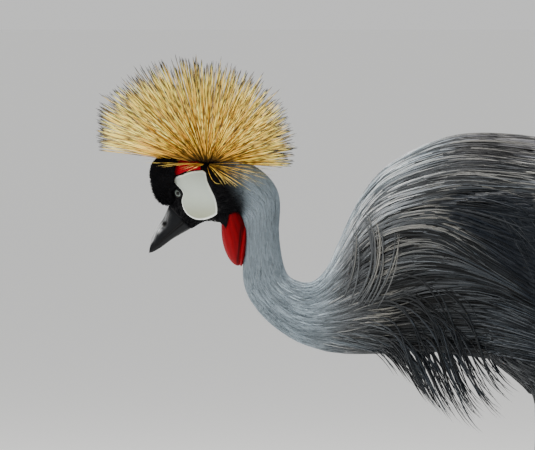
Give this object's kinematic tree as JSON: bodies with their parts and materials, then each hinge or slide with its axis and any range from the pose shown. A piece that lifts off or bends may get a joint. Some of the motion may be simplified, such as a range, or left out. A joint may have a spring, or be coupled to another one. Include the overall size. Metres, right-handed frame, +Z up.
{
  "type": "grey crowned crane model",
  "caption": "Life-size standing crane with lowered head, bristle crown, hanging breast plumes, folded wings and slender legs with spread toes.",
  "frame": {"origin": "middle of the model's bounding box at the floor it stands on", "axes": "-X is the way the crane faces, -Y its left side, +Z up"},
  "size_m": [0.9171, 0.2267, 0.7127],
  "materials": {
    "black_feather": "velvety black feathers of the face and forehead",
    "bare_white": "bare white skin of the cheek",
    "bare_red": "bare red skin of the brow and throat pouch",
    "horn": "dark horn of bill and claws",
    "iris": "pale grey-blue glass eye with a black pupil",
    "gold_bristle": "stiff straw-gold bristles with dark tips",
    "pale_grey": "soft light grey feathers",
    "slate": "slate grey feathers",
    "white_feather": "white wing covert feathers",
    "chestnut": "dark chestnut flight and tail feathers",
    "leg_skin": "scaly black leg skin"
  },
  "bodies": {
    "root": {"bill_lower": "horn", "bill_upper": "horn", "breast": "pale_grey", "brow_patch_left": "bare_red", "brow_patch_right": "bare_red", "cheek_left": "bare_white", "cheek_right": "bare_white", "claw_hind_left": "horn", "claw_hind_right": "horn", "claw_inner_left": "horn", "claw_inner_right": "horn", "claw_middle_left": "horn", "claw_middle_right": "horn", "claw_outer_left": "horn", "claw_outer_right": "horn", "crest": "gold_bristle", "eye_left": "iris", "eye_right": "iris", "flight_feathers_left": "chestnut", "flight_feathers_right": "chestnut", "foot_left": "leg_skin", "foot_right": "leg_skin", "forehead_cushion": "black_feather", "head": "black_feather", "neck_lower": "pale_grey", "neck_middle": "pale_grey", "neck_upper": "pale_grey", "shank_left": "leg_skin", "shank_right": "leg_skin", "tail": "chestnut", "tarsus_left": "leg_skin", "tarsus_right": "leg_skin", "thigh_left": "slate", "thigh_right": "slate", "throat_pouch": "bare_red", "torso": "slate", "wing_left": "white_feather", "wing_right": "white_feather"}
  },
  "joints": []
}
